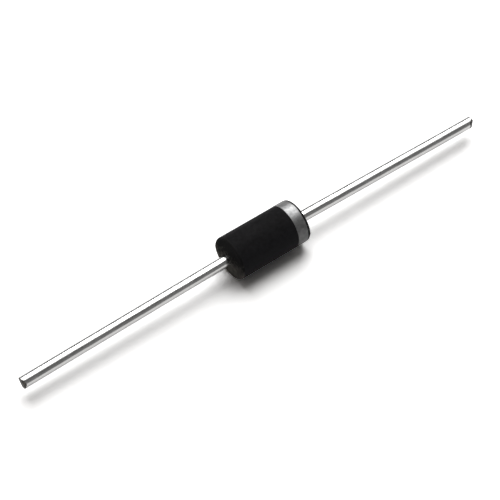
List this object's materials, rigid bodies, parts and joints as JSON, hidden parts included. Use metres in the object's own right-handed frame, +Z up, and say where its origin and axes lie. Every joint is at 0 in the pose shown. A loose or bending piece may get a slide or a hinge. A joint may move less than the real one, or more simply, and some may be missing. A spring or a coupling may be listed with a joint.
{
  "type": "axial rectifier diode",
  "caption": "Axial power diode: a black moulded barrel with a grey cathode band, and a long straight round wire lead out of each end.",
  "frame": {"origin": "middle of the moulded body, on its axis, which is also the middle of the bounding box", "axes": "+X along the body's axis towards the banded cathode end; +Z up, with the barrel lying on the surface at z = -2.5 mm and both leads drooping a little towards it"},
  "size_m": [0.0602, 0.005, 0.005],
  "materials": {
    "moulding": "satin black moulded epoxy",
    "band_ink": "printed silver-grey ink",
    "tinned_wire": "bright tin plating on drawn copper",
    "silicon": "polished, with etched sides",
    "solder": "dull grey solder",
    "silicone_rubber": "smooth white"
  },
  "bodies": {
    "root": {"body": "moulding", "cathode_band": "band_ink", "anode_lead": "tinned_wire", "cathode_lead": "tinned_wire", "silicon_chip": "silicon", "anode_solder": "solder", "cathode_solder": "solder", "junction_coating": "silicone_rubber"}
  },
  "joints": []
}
